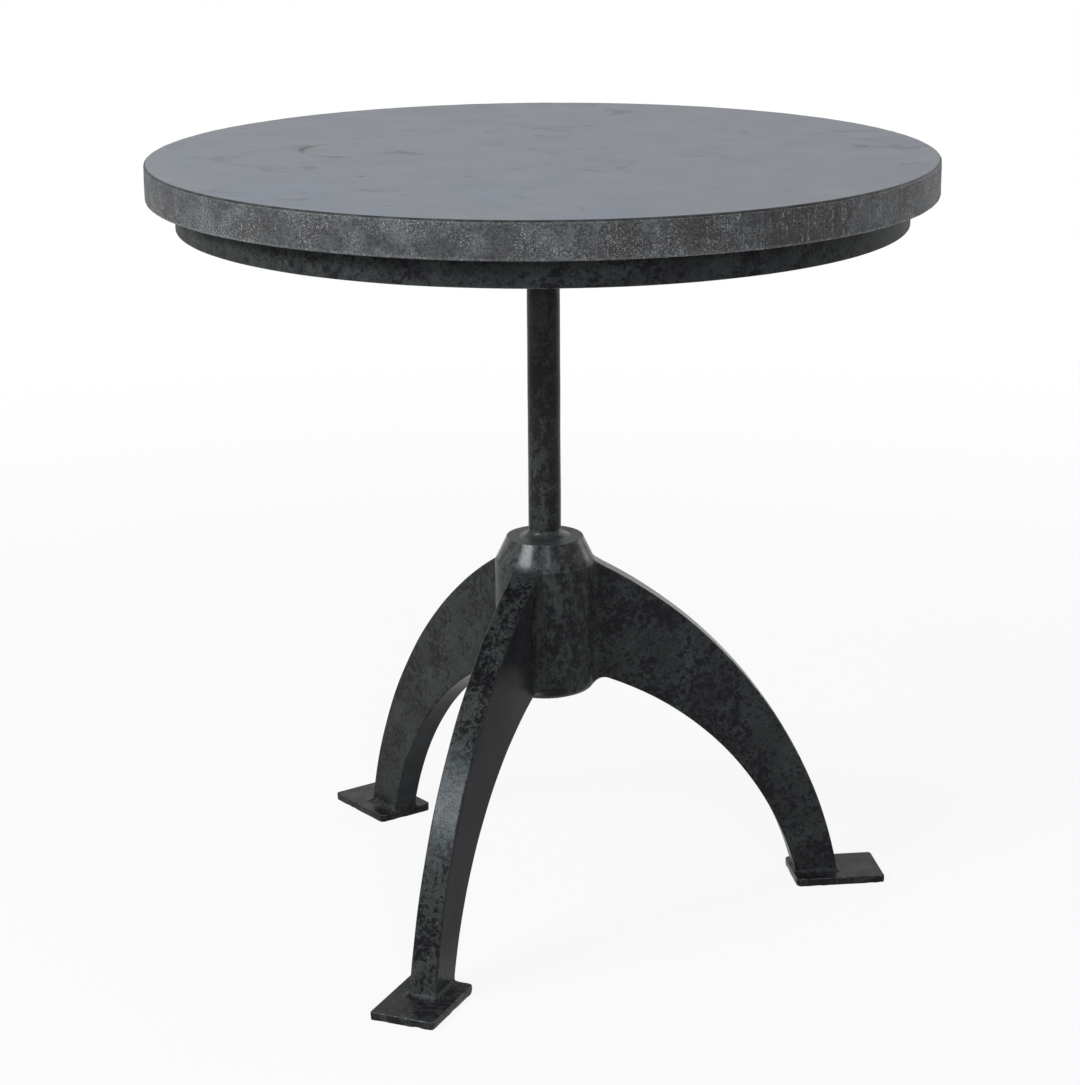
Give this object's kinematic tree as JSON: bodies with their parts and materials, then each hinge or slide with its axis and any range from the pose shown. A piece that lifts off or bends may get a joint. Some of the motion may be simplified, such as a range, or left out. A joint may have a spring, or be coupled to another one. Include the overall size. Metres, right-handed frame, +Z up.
{
  "type": "cocktail table",
  "caption": "Round cocktail table: honed stone top on an iron apron ring, slim post and turned hub with curved tripod legs on flat foot plates.",
  "frame": {"origin": "on the floor, under the middle of the post", "axes": "+Z up; +X along the leg that is at the right in the picture"},
  "size_m": [0.6099, 0.61, 0.61],
  "materials": {
    "honed_stone": "honed, dark grey",
    "blackened_iron": "blackened, mottled and waxed",
    "weld_metal": "blackened weld, partly ground",
    "clear_bumper": "clear, matte"
  },
  "bodies": {
    "root": {"stone_top": "honed_stone", "top_bumpers": "clear_bumper", "apron_ring": "blackened_iron", "spider_long_bar": "blackened_iron", "spider_short_bar_rear": "blackened_iron", "spider_short_bar_front": "blackened_iron", "centre_plate": "blackened_iron", "bar_ring_welds": "weld_metal", "bar_plate_welds": "weld_metal", "post": "blackened_iron", "post_plate_weld": "weld_metal", "post_hub_weld": "weld_metal", "hub": "blackened_iron", "leg_right": "blackened_iron", "leg_weld_right": "weld_metal", "foot_plate_right": "blackened_iron", "foot_weld_right": "weld_metal", "leg_rear": "blackened_iron", "leg_weld_rear": "weld_metal", "foot_plate_rear": "blackened_iron", "foot_weld_rear": "weld_metal", "leg_front": "blackened_iron", "leg_weld_front": "weld_metal", "foot_plate_front": "blackened_iron", "foot_weld_front": "weld_metal"}
  },
  "joints": []
}
